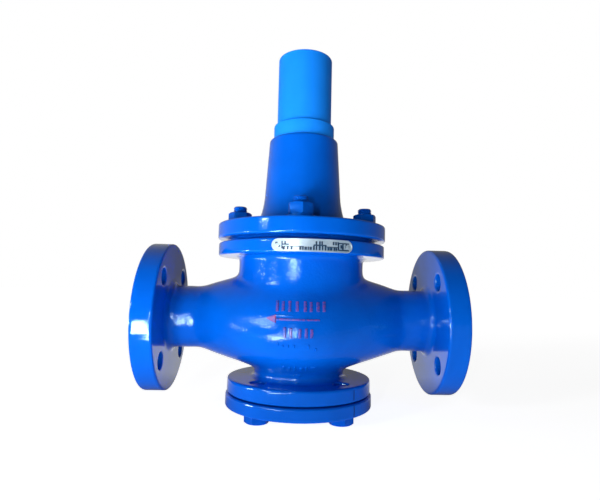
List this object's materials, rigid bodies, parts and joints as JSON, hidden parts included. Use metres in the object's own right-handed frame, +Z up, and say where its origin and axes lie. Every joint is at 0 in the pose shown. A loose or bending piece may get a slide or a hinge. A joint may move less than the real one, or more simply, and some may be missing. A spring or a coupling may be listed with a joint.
{
  "type": "pressure reducing valve",
  "caption": "Flanged spring-loaded pressure reducing valve with adjusting screw under a lift-off cap, soft seated disc and balance piston.",
  "frame": {"origin": "centre of the base, on the plane that the four cover bolt heads stand on, below the crossing of the pipe axis and the stem axis", "axes": "+X along the pipe axis towards the inlet flange, +Z up along the stem, the nameplate faces -Y; flow runs from +X to -X"},
  "size_m": [0.345, 0.193, 0.4141],
  "materials": {
    "blue_enamel": "gloss enamel over sand casting",
    "painted_fastener": "gloss enamel over hexagon steel",
    "cap_paint": "satin light blue",
    "plate_metal": "satin, with dark filled bars",
    "bronze": "turned bronze",
    "stainless": "turned stainless steel",
    "zinc_steel": "zinc plated",
    "spring_steel": "oiled spring wire",
    "cast_grey": "machined cast iron",
    "ball_steel": "polished",
    "gasket": "dark fibre gasket",
    "seal_rubber": "black nitrile"
  },
  "bodies": {
    "housing": {"valve_body": "blue_enamel", "cylinder_liner": "bronze", "seat_ring": "stainless", "seat_gasket": "gasket", "bonnet_gasket": "gasket", "bonnet": "blue_enamel", "bonnet_studs": "painted_fastener", "bonnet_washers": "painted_fastener", "bonnet_nuts": "painted_fastener", "bottom_gasket": "gasket", "bottom_cover": "blue_enamel", "cover_bolts": "painted_fastener", "guide_bush": "bronze", "nameplate": "plate_metal", "nameplate_rivets": "plate_metal", "main_spring": "spring_steel", "return_spring": "spring_steel"},
    "valve_stem": {"stem": "stainless", "stem_o_ring": "seal_rubber", "piston": "stainless", "piston_o_rings": "seal_rubber", "piston_washer": "zinc_steel", "piston_nut": "zinc_steel", "lower_spring_seat": "cast_grey", "disc_holder": "stainless", "disc_seal": "seal_rubber", "seal_retainer": "stainless", "disc_nut": "stainless", "balance_piston": "stainless", "balance_o_ring": "seal_rubber"},
    "spring_button": {"upper_spring_seat": "cast_grey", "thrust_ball": "ball_steel"},
    "screw": {"adjusting_screw": "zinc_steel"},
    "washer": {"lock_washer": "zinc_steel"},
    "nut": {"lock_nut": "zinc_steel"},
    "cap": {"cap": "cap_paint"}
  },
  "joints": [
    {"name": "valve_travel", "type": "slide", "parent": "housing", "child": "valve_stem", "axis": [0, 0, -1], "range_m": [0, 0.01], "stiffness_N_per_m": 8000, "springref_m": -0.005, "deforming": ["main_spring", "return_spring"]},
    {"name": "adjust_travel", "type": "slide", "parent": "housing", "child": "spring_button", "axis": [0, 0, 1], "range_m": [-0.0175, 0], "deforming": ["main_spring"]},
    {"name": "adjusting_screw_turn", "type": "hinge", "parent": "spring_button", "child": "screw", "pos_m": [0, 0, 0.35], "axis": [0, 0, 1], "range_deg": [-2520, 0]},
    {"name": "lock_nut_turn", "type": "hinge", "parent": "housing", "child": "washer", "pos_m": [0, 0, 0.331], "axis": [0, 0, 1], "range_deg": [0, 720]},
    {"name": "lock_nut_travel", "type": "slide", "parent": "washer", "child": "nut", "axis": [0, 0, 1], "range_m": [0, 0.005]},
    {"name": "cap_lift", "type": "slide", "parent": "housing", "child": "cap", "axis": [0, 0, 1], "range_m": [0, 0.12]}
  ],
  "couplings": [
    {"joint": "adjusting_screw_turn", "follows": "adjust_travel", "rad_per_m": 2513.3},
    {"joint": "lock_nut_turn", "follows": "lock_nut_travel", "rad_per_m": 2513.3}
  ]
}
